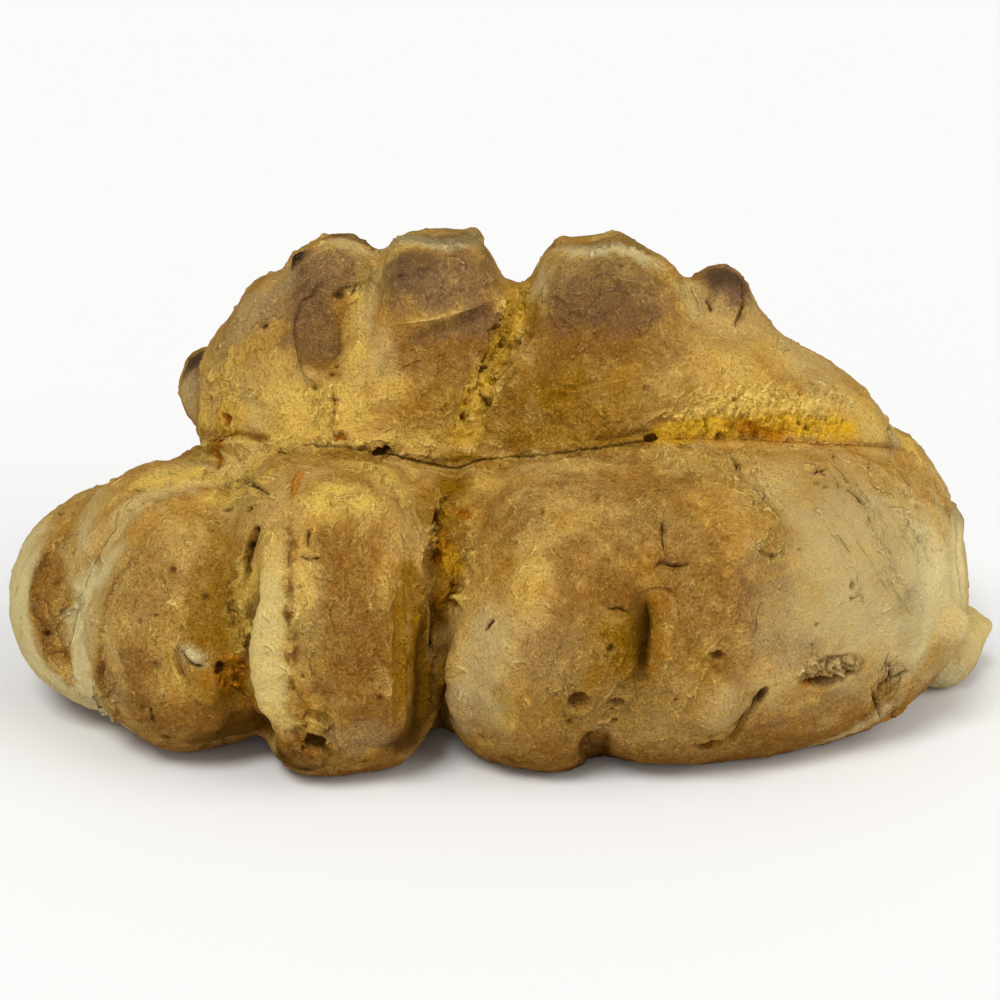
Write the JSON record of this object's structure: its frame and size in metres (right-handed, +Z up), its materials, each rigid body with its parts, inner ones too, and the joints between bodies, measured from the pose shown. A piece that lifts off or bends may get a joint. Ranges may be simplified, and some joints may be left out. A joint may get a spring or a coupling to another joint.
{
  "type": "durum wheat loaf",
  "caption": "Folded country loaf: a toothed upper lip of horns resting on thick cut lobes, with torn crumb in its mouth and cuts, standing on a flat sole.",
  "frame": {"origin": "the middle of the loaf's outline on the hearth, in the plane of its flat sole", "axes": "+X along the loaf to the right of someone facing its mouth, +Y from the mouth towards its smooth back, +Z up"},
  "size_m": [0.3654, 0.21, 0.1717],
  "materials": {
    "crust": "baked crust, matt, floured at its ends and browned on its high points"
  },
  "bodies": {
    "root": {"loaf": "crust"}
  },
  "joints": []
}
